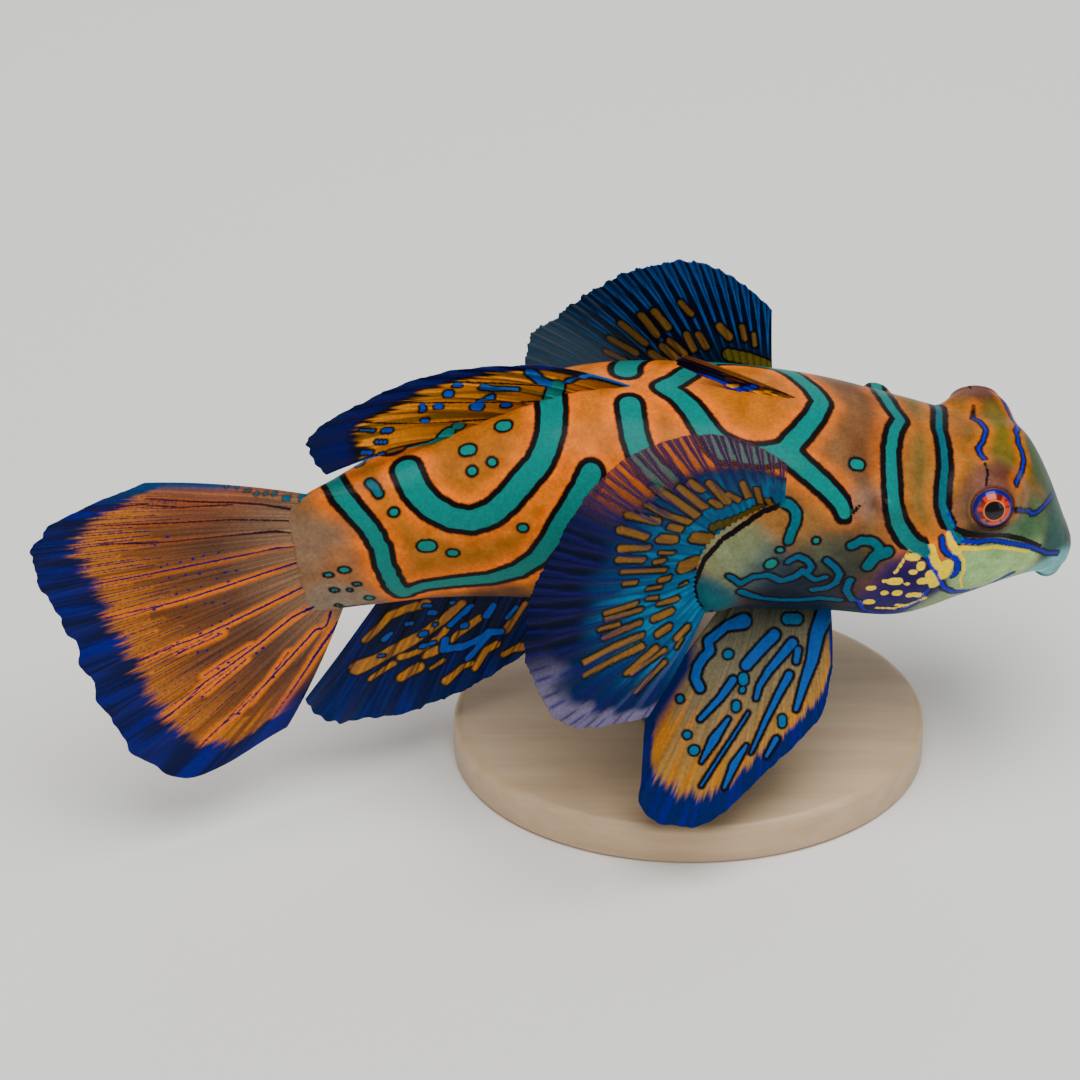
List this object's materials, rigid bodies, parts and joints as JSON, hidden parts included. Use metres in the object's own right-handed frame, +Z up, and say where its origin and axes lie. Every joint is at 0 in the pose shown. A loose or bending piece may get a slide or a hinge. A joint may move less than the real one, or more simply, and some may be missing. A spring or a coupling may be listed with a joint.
{
  "type": "mandarinfish model",
  "caption": "Life-size still model of a swimming mandarinfish with ribbed, spread fins, held level over an oval display stand by a short steel rod.",
  "frame": {"origin": "centre of the stand's underside, on the floor", "axes": "+X towards the fish's snout, +Y to the fish's left, +Z up"},
  "size_m": [0.0643, 0.03, 0.0329],
  "materials": {
    "skin_head": "moist skin, olive and orange with blue lines",
    "skin_body": "moist skin, orange with teal bands",
    "eye": "wet, orange-red iris round a black pupil",
    "fin_dorsal": "golden orange membrane with blue spots and navy margin",
    "fin_anal": "navy and golden membrane on soft rays",
    "fin_caudal": "brown-orange membrane with blue rays and navy margin",
    "fin_pectoral": "thin blue membrane with golden blotches",
    "fin_pelvic": "golden tan membrane with blue streaks and navy margin",
    "stand_base": "smooth pale wood",
    "stand_rod": "brushed"
  },
  "bodies": {
    "root": {"head": "skin_head", "torso": "skin_body", "tail": "skin_body", "eye_right": "eye", "eye_left": "eye", "first_dorsal_fin": "fin_dorsal", "second_dorsal_fin": "fin_dorsal", "anal_fin": "fin_anal", "caudal_fin": "fin_caudal", "pectoral_fin_right": "fin_pectoral", "pectoral_fin_left": "fin_pectoral", "pelvic_fin_right": "fin_pelvic", "pelvic_fin_left": "fin_pelvic", "stand_base": "stand_base", "stand_rod": "stand_rod"}
  },
  "joints": []
}
